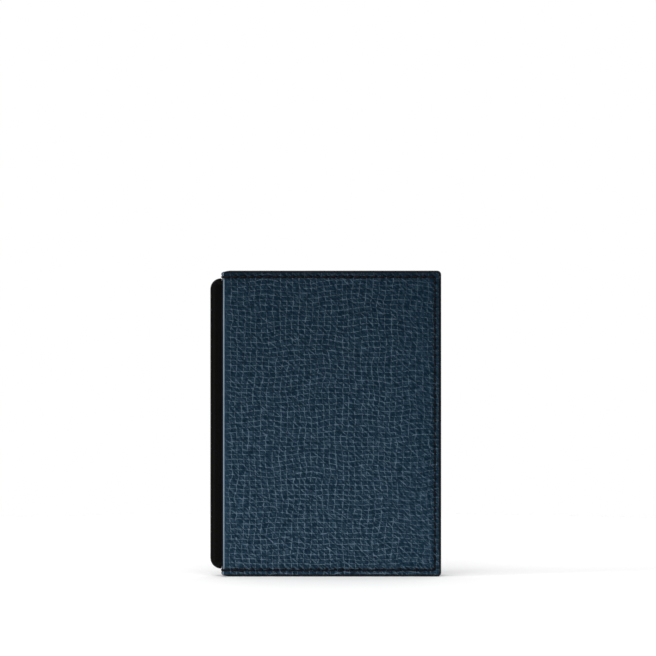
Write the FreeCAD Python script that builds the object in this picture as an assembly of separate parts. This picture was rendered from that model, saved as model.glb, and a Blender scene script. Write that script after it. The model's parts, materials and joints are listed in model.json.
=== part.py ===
import FreeCAD, Part
import math
import os

# Card holder in grained leather: a flat lined sleeve, sewn on three sides and open on the fourth, with
# three stepped card slots on its back and a pull-out identity-card insert inside.
# Millimetres. It stands on its long lower seam: +Z is up, the plain cover faces -Y, the slots face +Y,
# and the insert leaves the mouth towards -X. The origin is the middle of the base of the whole object.
# Every sheet is flat and lies parallel to the XZ plane, so the object is a stack of layers along Y.

V = FreeCAD.Vector

# ---- what it carries: a standard bank or identity card --------------------------------------------
CARD_LONG = 85.6
CARD_SHORT = 53.98
CARD_THICK = 0.76
CARD_SIDE_ROOM = 1.0        # added to the card's long side in every slot
CARD_FACE_ROOM = 0.1        # added to the card's thickness in every slot

# ---- borders round the card, which set the sleeve's outline -----------------------------------------
SIDE_BORDER = 9.2           # card's room to the upper or lower edge of the sleeve
MOUTH_BORDER = 14.22        # insert's card to the sleeve's mouth
END_BORDER = 3.5            # insert's card to the insert's open end
EDGE_PAINT = 0.35           # thickness of the black coat on the three cut edges
FAR_CORNER_R = 1.4
MOUTH_CORNER_R = 1.0

# ---- sleeve layers, front to back -------------------------------------------------------------------
COVER_THICK = 0.8
FRONT_BOARD_THICK = 0.3
LINING_THICK = 0.25         # also the skived return of both turned hems
BACK_BOARD_THICK = 0.25
BACK_PANEL_THICK = 0.6
FACING_THICK = 0.45
OUTER_POCKET_THICK = 0.8
HEM_DEPTH = 9.0             # how far each turned mouth edge returns inside
WELT_WIDTH = 3.0            # seam filler, measured from the sleeve's outer edge

# ---- seams ------------------------------------------------------------------------------------------
SEAM_INSET = 2.2            # seam line to the outer edge
STITCH_PITCH = 2.8          # wanted; each run rounds it to a whole number of stitches
STITCH_GAP = 0.5            # between one stitch and the next
STITCH_SLANT = 8.0          # degrees each stitch leans from the run
THREAD_WIDTH = 0.5
THREAD_DEPTH = 0.25
GROOVE_WIDTH = 0.85

# ---- stepped slots ----------------------------------------------------------------------------------
SLOT_COUNT = 3
FIRST_MOUTH_STITCHES = 4    # sleeve mouth to the first slot's mouth, in stitches
STEP_STITCHES = 3           # from one slot's mouth to the next, in stitches
STRIP_SETBACK = 0.3         # slot strips and their edge paint start this far behind the slot's mouth

# ---- insert -----------------------------------------------------------------------------------------
GRIP = 4.1                  # how far the insert stands out of the mouth
GRIP_CORNER_R = 3.8
INSERT_FAR_R = 2.0
INSERT_PAINT = 0.3
FRAME_THICK = 0.5
FILM_THICK = 0.2
ID_LINING_THICK = 0.15
ID_BACK_THICK = 0.5
FACE_CLEARANCE = 0.2        # insert to lining, each face
SIDE_CLEARANCE = 0.3        # insert to welt, each side
END_CLEARANCE = 0.5         # insert to the far welt
STOP_GAP = 0.1              # insert shoulder to the welt's end at rest
WRAP_CLEARANCE = 0.15       # grip to the thread wrapped round the mouth
WINDOW_LAP = 3.5            # how far the frame covers the card's border on three sides
WINDOW_R = 4.0
WINDOW_SEAM_OFFSET = 1.8    # window edge to its row of stitches
THUMB_REACH = 3.5           # how far the thumb notch uncovers the card
THUMB_MARGIN = 1.2          # thumb notch to the window's row of stitches
INSERT_SEAM_INSET = 2.0
GRIP_SEAM_DEPTH = 2.2       # row of stitches across the grip, behind the sleeve's mouth

# ---- places worked out from the sizes above ---------------------------------------------------------
sleeve_width = MOUTH_BORDER + CARD_SHORT + END_BORDER + END_CLEARANCE + WELT_WIDTH
sleeve_height = CARD_LONG + CARD_SIDE_ROOM + 2 * SIDE_BORDER
mouth_x = GRIP - (sleeve_width + GRIP) / 2
far_x = mouth_x + sleeve_width
base_z = 0.0
top_z = sleeve_height
mid_z = sleeve_height / 2

slot_gap = CARD_THICK + CARD_FACE_ROOM
front_wall = COVER_THICK + FRONT_BOARD_THICK + LINING_THICK
back_wall = LINING_THICK + BACK_BOARD_THICK + BACK_PANEL_THICK
insert_thick = FRAME_THICK + FILM_THICK + slot_gap + ID_LINING_THICK + ID_BACK_THICK
cavity = insert_thick + 2 * FACE_CLEARANCE
facing_thicks = [FACING_THICK] * (SLOT_COUNT - 1) + [OUTER_POCKET_THICK]
total_thick = front_wall + cavity + back_wall + SLOT_COUNT * slot_gap + sum(facing_thicks)

front_y = -total_thick / 2
cavity_front_y = front_y + front_wall
cavity_back_y = cavity_front_y + cavity
back_panel_y = cavity_back_y + back_wall

seam_top_z = top_z - SEAM_INSET
seam_base_z = base_z + SEAM_INSET
seam_far_x = far_x - SEAM_INSET
long_run = seam_far_x - mouth_x
long_stitches = round(long_run / STITCH_PITCH)
long_pitch = long_run / long_stitches

slot_step = STEP_STITCHES * long_pitch
slot_mouths = [mouth_x + FIRST_MOUTH_STITCHES * long_pitch + k * slot_step for k in range(SLOT_COUNT)]
slot_ends = [far_x - WELT_WIDTH - (SLOT_COUNT - 1 - k) * slot_step for k in range(SLOT_COUNT)]
card_half = (CARD_LONG + CARD_SIDE_ROOM) / 2


def slot_layers():
    """(gap's front, facing's front, facing's back) along Y for each slot, from the back panel outwards."""
    layers = []
    y = back_panel_y
    for thick in facing_thicks:
        layers.append((y, y + slot_gap, y + slot_gap + thick))
        y += slot_gap + thick
    return layers


# ---- shape helpers ----------------------------------------------------------------------------------
def box(x0, x1, y0, y1, z0, z1):
    return Part.makeBox(x1 - x0, y1 - y0, z1 - z0, V(x0, y0, z0))


def sheet(corners, radii, y0, y1):
    """A flat sheet from y0 to y1: (x, z) corners in order, each rounded to its own radius."""
    edges = []
    ends = []
    for i, (x, z) in enumerate(corners):
        corner = V(x, y0, z)
        before = V(corners[i - 1][0], y0, corners[i - 1][1])
        after = V(corners[(i + 1) % len(corners)][0], y0, corners[(i + 1) % len(corners)][1])
        to_before = (before - corner).normalize()
        to_after = (after - corner).normalize()
        half = to_before.getAngle(to_after) / 2
        reach = radii[i] / math.tan(half)
        start, end = corner + to_before * reach, corner + to_after * reach
        if radii[i] > 0:
            inward = (to_before + to_after).normalize()
            middle = corner + inward * (radii[i] / math.sin(half) - radii[i])
            edges.append(Part.Arc(start, middle, end).toShape())
        ends.append((start, end))
    for i in range(len(corners)):
        start, end = ends[i][1], ends[(i + 1) % len(corners)][0]
        if (end - start).Length > 1e-6:
            edges.append(Part.LineSegment(start, end).toShape())
    wire = Part.Wire(Part.__sortEdges__(edges))
    return Part.Face(wire).extrude(V(0, y1 - y0, 0))


def rectangle(x0, x1, z0, z1, y0, y1, low_r=0.0, high_r=0.0):
    """A flat rectangular sheet; low_r rounds its two corners at x0 and high_r the two at x1."""
    corners = [(x0, z0), (x1, z0), (x1, z1), (x0, z1)]
    return sheet(corners, [low_r, high_r, high_r, low_r], y0, y1)


def sleeve_blank(y0, y1, start=mouth_x):
    """The sleeve's outline inside its edge paint, from start to the far edge."""
    low_r = MOUTH_CORNER_R if start == mouth_x else 0.0
    return rectangle(
        start, far_x - EDGE_PAINT, base_z + EDGE_PAINT, top_z - EDGE_PAINT, y0, y1,
        low_r, FAR_CORNER_R - EDGE_PAINT,
    )


def round_mouth_edge(solid, x):
    """Rounds both long edges of a facing's mouth at x, nearly to a full round."""
    edges = [
        e for e in solid.Edges
        if e.Length > sleeve_height / 2 and all(abs(v.X - x) < 1e-6 for v in e.Vertexes)
    ]
    thick = solid.BoundBox.YLength
    return solid.makeFillet(0.45 * thick, edges)


# ---- stitches and their grooves ---------------------------------------------------------------------
def stitch(x, z, heading, pitch, y0, y1):
    """One visible run of thread centred on (x, z), its heading in degrees from +X towards +Z."""
    half_length = (pitch - STITCH_GAP) / 2
    half_width = THREAD_WIDTH / 2
    bar = rectangle(-half_length, half_length, -half_width, half_width, y0, y1, half_width, half_width)
    bar.rotate(V(0, 0, 0), V(0, 1, 0), -(heading + STITCH_SLANT))
    bar.translate(V(x, 0, z))
    return bar


def seam_run(start, end, faces, skip=0):
    """Stitches from start to end, both (x, z). faces(x) gives the thread's two Y faces at x."""
    run = V(end[0] - start[0], 0, end[1] - start[1])
    count = round(run.Length / STITCH_PITCH)
    heading = math.degrees(math.atan2(run.z, run.x))
    stitches = []
    for i in range(skip, count):
        share = (i + 0.5) / count
        x, z = start[0] + run.x * share, start[1] + run.z * share
        y0, y1 = faces(x)
        stitches.append(stitch(x, z, heading, run.Length / count, y0, y1))
    return stitches


def groove(start, end, y0, y1):
    """The channel that one straight run lies in, half a groove longer at both ends."""
    half = GROOVE_WIDTH / 2
    x0, x1 = sorted((start[0], end[0]))
    z0, z1 = sorted((start[1], end[1]))
    return box(x0 - half, x1 + half, y0, y1, z0 - half, z1 + half)


def sleeve_grooves(y0, y1, x_from, x_to):
    """Channels along the sleeve's two long seams, and across its far end if they reach it."""
    cuts = [
        box(x_from, x_to, y0, y1, z - GROOVE_WIDTH / 2, z + GROOVE_WIDTH / 2)
        for z in (seam_base_z, seam_top_z)
    ]
    if x_to >= seam_far_x:
        cuts.append(groove((seam_far_x, seam_base_z), (seam_far_x, seam_top_z), y0, y1))
    return cuts


def sleeve_seam(faces):
    """Three straight rows round the sleeve. The first stitch at the mouth is the wrapped one."""
    top_corner, base_corner = (seam_far_x, seam_top_z), (seam_far_x, seam_base_z)
    return (
        seam_run((mouth_x, seam_top_z), top_corner, faces, skip=1)
        + seam_run(top_corner, base_corner, faces)
        + seam_run((mouth_x, seam_base_z), base_corner, faces, skip=1)
    )


# ---- sleeve walls -----------------------------------------------------------------------------------
def hemmed_leather(outer_y, inward, leather, board, hem):
    """A wall's leather, with its mouth edge turned over the board and returned inside.

    outer_y is its outer face, and inward is +1 or -1, the way from there to the insert."""
    nose = (leather + board + hem) / 2
    low, high = mouth_x + nose, far_x - EDGE_PAINT
    z = base_z + EDGE_PAINT

    def at(x, depth):
        return V(x, outer_y + inward * depth, z)

    points = [
        at(low, 0), at(high, 0), at(high, leather), at(low, leather),
        at(low, leather + board), at(mouth_x + HEM_DEPTH, leather + board),
        at(mouth_x + HEM_DEPTH, 2 * nose), at(low, 2 * nose),
    ]
    edges = [Part.LineSegment(a, b).toShape() for a, b in zip(points, points[1:])]
    edges.append(Part.Arc(points[-1], at(mouth_x, nose), points[0]).toShape())
    wall = Part.Face(Part.Wire(edges)).extrude(V(0, 0, sleeve_height - 2 * EDGE_PAINT))
    y0, y1 = sorted((outer_y, outer_y + inward * 2 * nose))
    return wall.common(sleeve_blank(y0, y1))


def front_cover():
    cover = hemmed_leather(front_y, 1, COVER_THICK, FRONT_BOARD_THICK, LINING_THICK)
    return [cover.cut(sleeve_grooves(front_y, front_y + THREAD_DEPTH, mouth_x - 1, seam_far_x))]


def front_board():
    y0 = front_y + COVER_THICK
    return [sleeve_blank(y0, y0 + FRONT_BOARD_THICK, mouth_x + front_wall / 2)]


def front_lining():
    return [sleeve_blank(cavity_front_y - LINING_THICK, cavity_front_y, mouth_x + HEM_DEPTH)]


def welt_strips():
    """Upper, lower and far filler strips that hold the two walls apart by the insert's room."""
    blank = sleeve_blank(cavity_front_y, cavity_back_y)
    inner_x = far_x - WELT_WIDTH
    upper = box(mouth_x, inner_x, cavity_front_y, cavity_back_y, top_z - WELT_WIDTH, top_z)
    lower = box(mouth_x, inner_x, cavity_front_y, cavity_back_y, base_z, base_z + WELT_WIDTH)
    far = box(inner_x, far_x, cavity_front_y, cavity_back_y, base_z, top_z)
    return [blank.common(part) for part in (upper, lower, far)]


def back_lining():
    return [sleeve_blank(cavity_back_y, cavity_back_y + LINING_THICK, mouth_x + HEM_DEPTH)]


def back_board():
    y0 = cavity_back_y + LINING_THICK
    return [sleeve_blank(y0, y0 + BACK_BOARD_THICK, mouth_x + back_wall / 2)]


def back_panel():
    panel = hemmed_leather(back_panel_y, -1, BACK_PANEL_THICK, BACK_BOARD_THICK, LINING_THICK)
    return [panel.cut(sleeve_grooves(back_panel_y - THREAD_DEPTH, back_panel_y, mouth_x - 1, slot_mouths[0]))]


# ---- stepped slots ----------------------------------------------------------------------------------
def slot_strips(k):
    """Upper, lower and end strips as thick as a card, which leave slot k open towards the mouth."""
    y0, y1, _ = slot_layers()[k]
    start, end = slot_mouths[k] + STRIP_SETBACK, slot_ends[k]
    blank = sleeve_blank(y0, y1, start)
    upper = box(start, end, y0, y1, mid_z + card_half, top_z)
    lower = box(start, end, y0, y1, base_z, mid_z - card_half)
    far = box(end, far_x, y0, y1, base_z, top_z)
    return [blank.common(part) for part in (upper, lower, far)]


def slot_facing(k):
    """The leather sheet in front of slot k. The last one is the grained outer pocket."""
    _, y0, y1 = slot_layers()[k]
    last = k == SLOT_COUNT - 1
    groove_end = seam_far_x if last else slot_mouths[k + 1]
    facing = round_mouth_edge(sleeve_blank(y0, y1, slot_mouths[k]), slot_mouths[k])
    return [facing.cut(sleeve_grooves(y1 - THREAD_DEPTH, y1, slot_mouths[k] - 1, groove_end))]


# ---- sleeve edges and thread ------------------------------------------------------------------------
def sleeve_edge_paint():
    """The coat on the upper, lower and far cut edges. It steps down with the slots towards the mouth."""
    back_y = slot_layers()[-1][2]
    outer = rectangle(mouth_x, far_x, base_z, top_z, front_y, back_y, 0.0, FAR_CORNER_R)
    far = outer.cut(sleeve_blank(front_y, back_y))
    far = far.common(box(far_x - FAR_CORNER_R, far_x, front_y, back_y, base_z, top_z))
    strips = []
    for z0 in (base_z, top_z - EDGE_PAINT):
        end = far_x - FAR_CORNER_R
        steps = [box(mouth_x + MOUTH_CORNER_R, end, front_y, back_panel_y, z0, z0 + EDGE_PAINT)]
        for (y0, _, y1), start in zip(slot_layers(), slot_mouths):
            steps.append(box(start + STRIP_SETBACK, end, y0, y1, z0, z0 + EDGE_PAINT))
        strips.append(steps[0].multiFuse(steps[1:]).removeSplitter().Solids[0])
    return strips + [far.Solids[0]]


def front_seam_thread():
    return sleeve_seam(lambda x: (front_y, front_y + THREAD_DEPTH))


def back_seam_thread():
    """Each stitch lies on the layer that is outermost there, and none crosses a slot's mouth."""
    def faces(x):
        surface = back_panel_y
        for (_, _, y1), start in zip(slot_layers(), slot_mouths):
            if x > start:
                surface = y1
        return surface - THREAD_DEPTH, surface
    return sleeve_seam(faces)


def mouth_wrap_thread():
    """At each end of the mouth the thread wraps both walls, one stitch long on each face."""
    wrap_x = mouth_x - THREAD_DEPTH
    leg_end = mouth_x + long_pitch - STITCH_GAP / 2
    loops = []
    for z in (seam_base_z, seam_top_z):
        z0, z1 = z - THREAD_WIDTH / 2, z + THREAD_WIDTH / 2
        outer = box(wrap_x, leg_end, front_y, back_panel_y, z0, z1)
        bends = [
            e for e in outer.Edges
            if e.Length < 2 * THREAD_WIDTH and all(abs(v.X - wrap_x) < 1e-6 for v in e.Vertexes)
        ]
        inner = box(mouth_x, leg_end, front_y + THREAD_DEPTH, back_panel_y - THREAD_DEPTH, z0, z1)
        loops.append(outer.makeFillet(2 * THREAD_DEPTH, bends).cut(inner))
    return loops


# ---- insert -----------------------------------------------------------------------------------------
grip_x = mouth_x - GRIP
shoulder_x = mouth_x - STOP_GAP
insert_end_x = far_x - WELT_WIDTH - END_CLEARANCE
grip_half = mid_z - SEAM_INSET - THREAD_WIDTH / 2 - WRAP_CLEARANCE
body_half = mid_z - WELT_WIDTH - SIDE_CLEARANCE

insert_front_y = cavity_front_y + FACE_CLEARANCE
film_y = insert_front_y + FRAME_THICK
id_gap_y = film_y + FILM_THICK
id_lining_y = id_gap_y + slot_gap
id_back_y = id_lining_y + ID_LINING_THICK
insert_back_y = id_back_y + ID_BACK_THICK

card_near_x = mouth_x + MOUTH_BORDER
grip_corner_r = min(GRIP_CORNER_R, GRIP - STOP_GAP - INSERT_PAINT)
thumb_r = END_BORDER + THUMB_REACH
window_x = (card_near_x + WINDOW_LAP, insert_end_x - thumb_r - THUMB_MARGIN - WINDOW_SEAM_OFFSET)
window_z = (mid_z - CARD_LONG / 2 + WINDOW_LAP, mid_z + CARD_LONG / 2 - WINDOW_LAP)
id_seam_x = mouth_x + GRIP_SEAM_DEPTH
id_seam_half = body_half - INSERT_SEAM_INSET


def insert_blank(y0, y1, inset=INSERT_PAINT):
    """The insert's outline: a taller grip outside the mouth, and shoulders down to the body inside.

    It is drawn in by inset, for the edge paint, everywhere but at the open end."""
    grip, body, shoulder = grip_half - inset, body_half - inset, shoulder_x - inset
    corners = [
        (grip_x + inset, mid_z - grip), (shoulder, mid_z - grip), (shoulder, mid_z - body),
        (insert_end_x, mid_z - body), (insert_end_x, mid_z + body), (shoulder, mid_z + body),
        (shoulder, mid_z + grip), (grip_x + inset, mid_z + grip),
    ]
    grip_r, far_r = grip_corner_r - inset, INSERT_FAR_R - inset
    return sheet(corners, [grip_r, 0, 0, far_r, far_r, 0, 0, grip_r], y0, y1)


def thumb_notch(y0, y1):
    """A half-round cut at the open end, where a thumb reaches the card."""
    return Part.makeCylinder(thumb_r, y1 - y0, V(insert_end_x, y0, mid_z), V(0, 1, 0))


def id_grooves(y0, y1):
    """Channels for the insert's seam, which runs across the grip and along both sides to the open end."""
    low, high = mid_z - id_seam_half, mid_z + id_seam_half
    return [
        groove((id_seam_x, high), (insert_end_x, high), y0, y1),
        groove((id_seam_x, low), (insert_end_x, low), y0, y1),
        groove((id_seam_x, low), (id_seam_x, high), y0, y1),
    ]


def window_seam_corners():
    x0, x1 = window_x[0] - WINDOW_SEAM_OFFSET, window_x[1] + WINDOW_SEAM_OFFSET
    z0, z1 = window_z[0] - WINDOW_SEAM_OFFSET, window_z[1] + WINDOW_SEAM_OFFSET
    return [(x0, z0), (x1, z0), (x1, z1), (x0, z1)]


def id_window_frame():
    y0, y1 = insert_front_y, film_y
    frame = insert_blank(y0, y1)
    window = rectangle(*window_x, *window_z, y0, y1, WINDOW_R, WINDOW_R)
    corners = window_seam_corners()
    cuts = [groove(a, b, y0, y0 + THREAD_DEPTH) for a, b in zip(corners, corners[1:] + corners[:1])]
    return [frame.cut([window, thumb_notch(y0, y1)] + cuts + id_grooves(y0, y0 + THREAD_DEPTH))]


def id_window_film():
    return [insert_blank(film_y, id_gap_y).cut(thumb_notch(film_y, id_gap_y))]


def id_card_strips():
    """Grip, upper and lower strips as thick as a card, which leave its pocket open at the far end."""
    blank = insert_blank(id_gap_y, id_lining_y)
    grip = box(grip_x, card_near_x, id_gap_y, id_lining_y, base_z, top_z)
    lower = box(card_near_x, insert_end_x, id_gap_y, id_lining_y, base_z, mid_z - card_half)
    upper = box(card_near_x, insert_end_x, id_gap_y, id_lining_y, mid_z + card_half, top_z)
    return [blank.common(part) for part in (grip, lower, upper)]


def id_back_lining():
    return [insert_blank(id_lining_y, id_back_y)]


def id_back_panel():
    panel = insert_blank(id_back_y, insert_back_y)
    return [panel.cut(id_grooves(insert_back_y - THREAD_DEPTH, insert_back_y))]


def id_edge_paint():
    """The coat round the grip and its shoulders, and along both sides of the body."""
    y0, y1 = insert_front_y, insert_back_y
    coat = insert_blank(y0, y1, 0.0).cut(insert_blank(y0, y1))
    side_start, side_end = shoulder_x - INSERT_PAINT, insert_end_x - INSERT_FAR_R
    grip = coat.common(box(grip_x, side_start, y0, y1, base_z, top_z))
    lower = coat.common(box(side_start, side_end, y0, y1, base_z, mid_z))
    upper = coat.common(box(side_start, side_end, y0, y1, mid_z, top_z))
    return [grip, lower, upper]


def id_seam(y0, y1):
    low, high = mid_z - id_seam_half, mid_z + id_seam_half
    last_x = insert_end_x - STITCH_GAP

    def faces(x):
        return y0, y1

    return (
        seam_run((id_seam_x, high), (last_x, high), faces)
        + seam_run((id_seam_x, high), (id_seam_x, low), faces)
        + seam_run((id_seam_x, low), (last_x, low), faces)
    )


def id_front_seam_thread():
    return id_seam(insert_front_y, insert_front_y + THREAD_DEPTH)


def id_back_seam_thread():
    return id_seam(insert_back_y - THREAD_DEPTH, insert_back_y)


def id_window_thread():
    corners = window_seam_corners()
    stitches = []
    for start, end in zip(corners, corners[1:] + corners[:1]):
        stitches += seam_run(start, end, lambda x: (insert_front_y, insert_front_y + THREAD_DEPTH))
    return stitches


# ---- every node, by name ----------------------------------------------------------------------------
def nodes():
    made = {
        "front_cover": front_cover(),
        "front_board": front_board(),
        "front_lining": front_lining(),
        "welt_strips": welt_strips(),
        "back_lining": back_lining(),
        "back_board": back_board(),
        "back_panel": back_panel(),
        "sleeve_edge_paint": sleeve_edge_paint(),
        "front_seam_thread": front_seam_thread(),
        "back_seam_thread": back_seam_thread(),
        "mouth_wrap_thread": mouth_wrap_thread(),
        "id_window_frame": id_window_frame(),
        "id_window_film": id_window_film(),
        "id_card_strips": id_card_strips(),
        "id_back_lining": id_back_lining(),
        "id_back_panel": id_back_panel(),
        "id_edge_paint": id_edge_paint(),
        "id_window_thread": id_window_thread(),
        "id_front_seam_thread": id_front_seam_thread(),
        "id_back_seam_thread": id_back_seam_thread(),
    }
    for k in range(SLOT_COUNT):
        made[f"slot_strips_{k + 1}"] = slot_strips(k)
        name = "outer_pocket" if k == SLOT_COUNT - 1 else f"slot_facing_{k + 1}"
        made[name] = slot_facing(k)
    return made


def main():
    os.makedirs("parts", exist_ok=True)
    for name, shapes in nodes().items():
        solids = [solid for shape in shapes for solid in shape.Solids]
        assert solids and all(s.isValid() and s.Volume > 0 for s in solids), name
        shape = solids[0] if len(solids) == 1 else Part.makeCompound(solids)
        shape.exportStep(f"parts/{name}.step")
        print(name, len(solids), "solids", round(sum(s.Volume for s in solids), 2), "mm3")
    print("overall", round(sleeve_width + GRIP, 2), round(total_thick, 3), sleeve_height)


main()
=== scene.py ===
import json
import math

import bmesh
import bpy
import numpy as np
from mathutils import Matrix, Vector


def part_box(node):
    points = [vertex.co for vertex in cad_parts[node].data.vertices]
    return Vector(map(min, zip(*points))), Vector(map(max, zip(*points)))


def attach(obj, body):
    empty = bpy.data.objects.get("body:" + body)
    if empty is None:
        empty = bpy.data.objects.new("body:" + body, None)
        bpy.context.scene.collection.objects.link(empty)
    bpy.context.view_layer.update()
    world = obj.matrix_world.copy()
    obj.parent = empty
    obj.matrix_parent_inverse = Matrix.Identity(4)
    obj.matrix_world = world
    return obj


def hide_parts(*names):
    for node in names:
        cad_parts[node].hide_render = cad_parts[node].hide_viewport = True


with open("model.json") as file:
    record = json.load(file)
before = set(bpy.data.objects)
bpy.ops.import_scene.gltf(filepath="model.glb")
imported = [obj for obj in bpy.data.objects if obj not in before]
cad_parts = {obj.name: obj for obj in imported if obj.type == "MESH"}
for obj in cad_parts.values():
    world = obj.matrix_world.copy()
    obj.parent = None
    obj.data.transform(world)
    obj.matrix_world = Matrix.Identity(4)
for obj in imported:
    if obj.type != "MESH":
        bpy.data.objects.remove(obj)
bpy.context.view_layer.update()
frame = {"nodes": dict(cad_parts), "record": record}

# Looks of the card holder: grained blue sleeve, black pull-out insert, waxed thread and painted edges.
# Metres, in the frame of the CAD model. MM turns a length in millimetres into metres.

MM = 0.001
rng = np.random.default_rng(7)     # the pulled creases along the far seam

# ---- places, read from the frame ------------------------------------------------------------------
cover_lo, cover_hi = (np.array(corner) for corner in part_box("front_cover"))
coat_lo, coat_hi = (np.array(corner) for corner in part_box("sleeve_edge_paint"))
panel_lo, panel_hi = (np.array(corner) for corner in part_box("back_panel"))
insert_lo, insert_hi = (np.array(corner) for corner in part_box("id_edge_paint"))

mouth_x, leather_far_x = cover_lo[0], cover_hi[0]
leather_base_z, leather_top_z = cover_lo[2], cover_hi[2]
front_y, back_y = cover_lo[1], panel_hi[1]
front_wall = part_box("front_lining")[1][1] - front_y
back_wall = panel_hi[1] - panel_lo[1]
coat = coat_hi[0] - leather_far_x
mid_z = (leather_base_z + leather_top_z) / 2
slot_nodes = ["slot_facing_1", "slot_facing_2", "outer_pocket"]
slot_mouths = [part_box(node)[0][0] for node in slot_nodes]

# ---- sizes that the boxes don't give --------------------------------------------------------------
FAR_CORNER_R = 1.05 * MM
MOUTH_CORNER_R = 0.75 * MM
HEM_DEPTH = 9.0 * MM         # how far the cover turns back inside the mouth
LEATHER = 0.8 * MM
PANEL_LEATHER = 0.6 * MM
RETURN = 0.25 * MM           # thickness of the turned-back hem
THREAD_R = 0.25 * MM
THREAD_PLIES = 3
THREAD_SIDES = 12
TWIST_PER_MM = 0.42          # turns of the plies in a millimetre of thread
SKIN_STEP = 0.31 * MM        # mesh spacing on grained leather
FACE_ROUND = 0.28 * MM       # where the leather's face turns down to its cut edge
PILLOW = 0.35 * MM           # rise of the cover's middle above its seams
FACING_PILLOW = 0.08 * MM
PANEL_PILLOW = 0.1 * MM
POCKET_PILLOW = 0.25 * MM
PILLOW_REACH = 2.4 * MM
GROOVE_DEPTH = 0.30 * MM
GROOVE_HALF = 0.42 * MM
DIMPLE_DEPTH = 0.26 * MM
DIMPLE_HALF = 0.55 * MM
CREASE_COUNT = 46
CREASE_DEPTH = 0.055 * MM
CREASE_HALF = 0.32 * MM
SWELL = 0.035 * MM           # slow unevenness of the face
MARK_RISE = 0.05 * MM
COAT_STEP = 0.5 * MM
COAT_SUNK = 0.3 * MM         # how far a painted coat reaches into the layers
MOUTH_FLARE = 0.38 * MM      # the mouth's edge spreads at the seams' ends
NET_RELIEF = 0.05 * MM       # height of the grain on the mesh
SEAM_MARGIN = 4 * MM         # a seam's stitches lie within this of their edge
DOUBLED_REACH = 10 * MM      # stitches this near the mouth are sewn twice
SLOT_OVERLAP = 1.5 * MM      # how far a layer's fine mesh runs under the next facing
MOUTH_ZONE = 12 * MM         # the pillow rises to its full height over this far from the mouth
MOUTH_BLEND = 3 * MM         # how far in from the mouth the flare dies out
CORNER_BLEND = 4 * MM        # how far in from a corner its rounding dies out
WRAP_REACH = 2.5 * MM        # the holes of the thread round the mouth are this far in
WRAP_R = 1.3 * THREAD_R


# ---- stitches, found in the frame's own thread solids ---------------------------------------------
def stitches_of(node):
    """Ends of every stitch in a CAD thread node: an array of (start, end, xyz)."""
    mesh = frame["nodes"][node].data
    points = np.array([v.co for v in mesh.vertices])
    _, weld = np.unique(np.round(points / (1e-3 * MM)).astype(np.int64), axis=0, return_inverse=True)
    weld = weld.ravel()
    parent = list(range(weld.max() + 1))

    def root(i):
        while parent[i] != i:
            parent[i] = parent[parent[i]]
            i = parent[i]
        return i

    for face in mesh.polygons:
        first = root(weld[face.vertices[0]])
        for v in face.vertices[1:]:
            parent[root(weld[v])] = first
    groups = {}
    for i, w in enumerate(weld):
        groups.setdefault(root(w), []).append(i)
    ends = []
    for members in groups.values():
        cloud = points[members]
        centre = (cloud.min(axis=0) + cloud.max(axis=0)) / 2
        flat = (cloud - centre)[:, [0, 2]]
        axis = np.linalg.svd(flat, full_matrices=False)[2][0]
        along = flat @ axis
        half = np.ptp(along) / 2 - THREAD_R
        step = np.array([axis[0], 0, axis[1]]) * half
        ends.append((centre - step, centre + step))
    return np.array(ends)


front_stitches = stitches_of("front_seam_thread")
back_stitches = stitches_of("back_seam_thread")
at_far = front_stitches[:, :, 0].min(axis=1) > leather_far_x - SEAM_MARGIN
at_base = front_stitches[:, :, 2].max(axis=1) < leather_base_z + SEAM_MARGIN
seam_far_x = np.median(front_stitches[at_far][:, :, 0])
seam_base_z = np.median(front_stitches[at_base][:, :, 2])
seam_top_z = 2 * mid_z - seam_base_z


# ---- relief of a sleeve face ----------------------------------------------------------------------
def smooth(x):
    """0 below 0, 1 above 1, and an even curve between them."""
    x = np.clip(x, 0, 1)
    return x * x * (3 - 2 * x)


def nearest(x, z, points):
    """Distance in the XZ plane from each (x, z) to the nearest of the points."""
    best = np.full(x.shape, 1.0)
    for p in points:
        best = np.minimum(best, np.hypot(x - p[0], z - p[2]))
    return best


creases = [        # height, slope and reach in mm of each pulled crease
    (rng.uniform(seam_base_z, seam_top_z), rng.normal(0, 0.12), rng.uniform(2, 7))
    for _ in range(CREASE_COUNT)
]


def face_relief(x, z, holes, pillow, x_start):
    """Height above the flat CAD face: pillow, sewn groove, stitch dimples and pulled creases."""
    to_far, to_base, to_top = seam_far_x - x, z - seam_base_z, seam_top_z - z
    rise = np.ones_like(x)
    for distance in (to_far, to_base, to_top):
        rise = rise * (1 - np.exp(-np.clip(distance, 0, None) / PILLOW_REACH))
    near_mouth = smooth((x - x_start) / MOUTH_ZONE)
    height = pillow * rise * (0.45 + 0.55 * near_mouth)
    inside = (to_base > -GROOVE_HALF * 3) & (to_top > -GROOVE_HALF * 3)
    to_seam = np.minimum(np.abs(to_base), np.abs(to_top))
    to_seam = np.minimum(to_seam, np.where(inside, np.abs(to_far), 1.0))
    height -= GROOVE_DEPTH * np.exp(-(to_seam / GROOVE_HALF) ** 2)
    height -= DIMPLE_DEPTH * np.exp(-(nearest(x, z, holes) / DIMPLE_HALF) ** 2)
    for crease_z, slope, reach in creases:
        run = np.clip(to_far, -1.2 * MM, None)
        off = (z - crease_z - slope * run) / CREASE_HALF
        height -= CREASE_DEPTH * np.exp(-off ** 2) * np.exp(-np.abs(run) / (reach * MM))
    wave = np.sin(x * 95 + 2 * np.sin(z * 61)) * np.sin(z * 83 + 1.3) + 0.6 * np.sin(x * 210 + z * 170)
    return height + SWELL * wave * rise


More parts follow.
